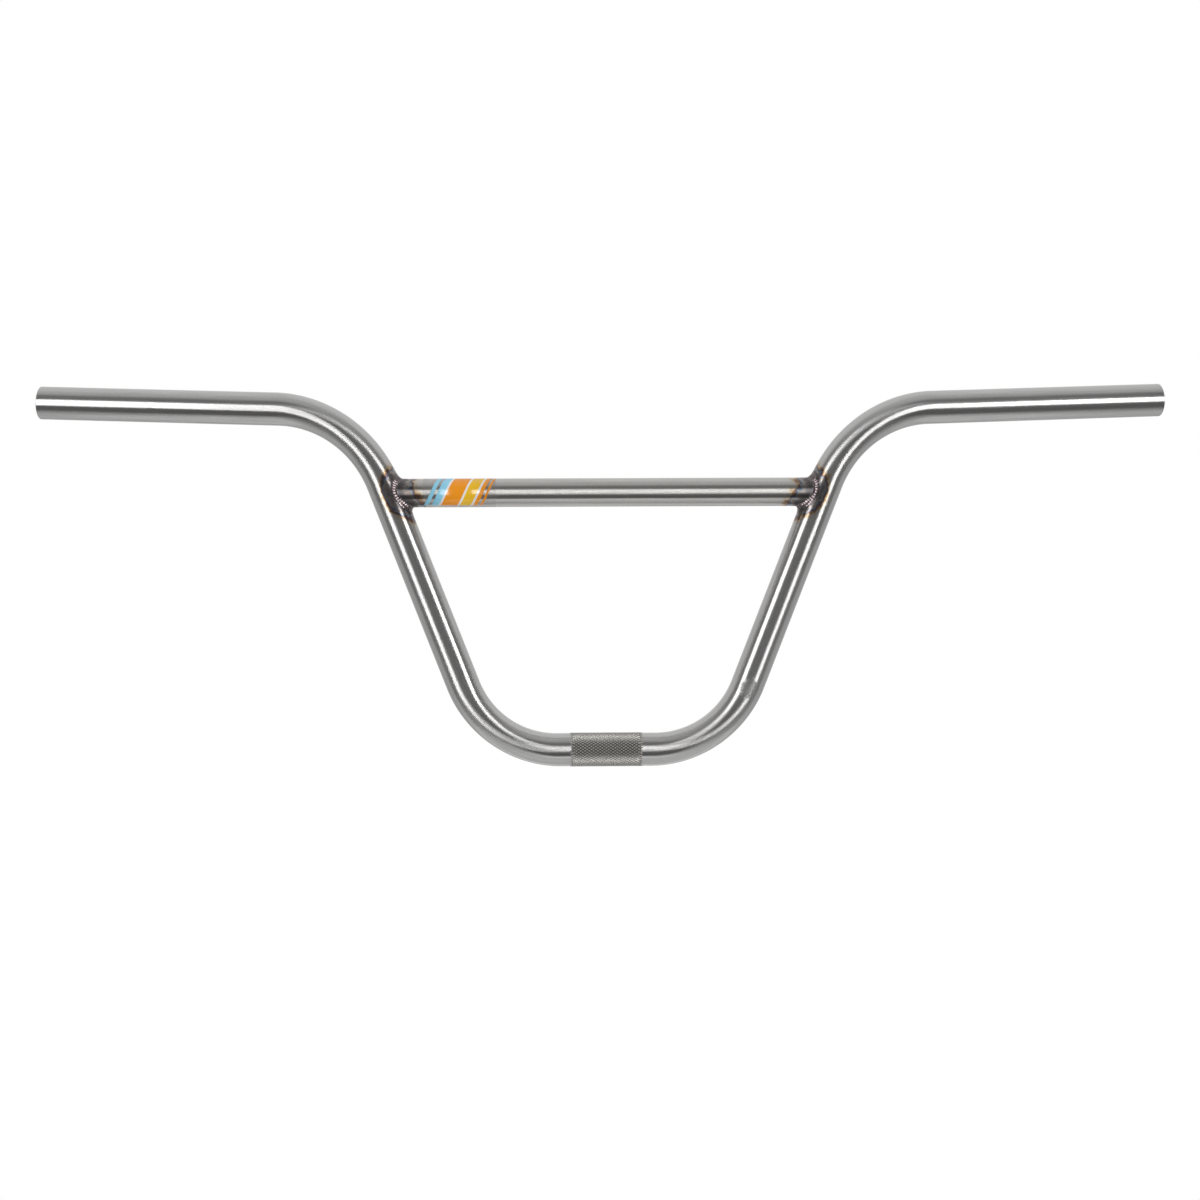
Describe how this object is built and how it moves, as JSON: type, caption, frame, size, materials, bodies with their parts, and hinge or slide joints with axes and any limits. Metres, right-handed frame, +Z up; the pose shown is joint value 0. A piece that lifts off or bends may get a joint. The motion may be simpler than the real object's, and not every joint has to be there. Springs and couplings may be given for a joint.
{
  "type": "bmx handlebar",
  "caption": "High-rise bicycle handlebar of bare steel tube, bent from one piece, with a straight welded crossbar between the legs and a knurled stem clamp.",
  "frame": {"origin": "centre of the stem clamp, on the tube's centre line", "axes": "+X along the bar to the right grip as seen from the front, +Z up to the grips, the grips sweep back towards +Y, so the front of the bar faces -Y"},
  "size_m": [0.761, 0.0671, 0.2544],
  "materials": {
    "raw_steel": "raw drawn steel tube under clear coat",
    "raw_steel_crossbar": "raw drawn steel tube under clear coat",
    "weld_metal": "rippled weld metal with heat tint",
    "decal_film": "printed vinyl film"
  },
  "bodies": {
    "root": {"main_tube": "raw_steel", "crossbar": "raw_steel_crossbar", "left_weld": "weld_metal", "right_weld": "weld_metal", "decal": "decal_film"}
  },
  "joints": []
}
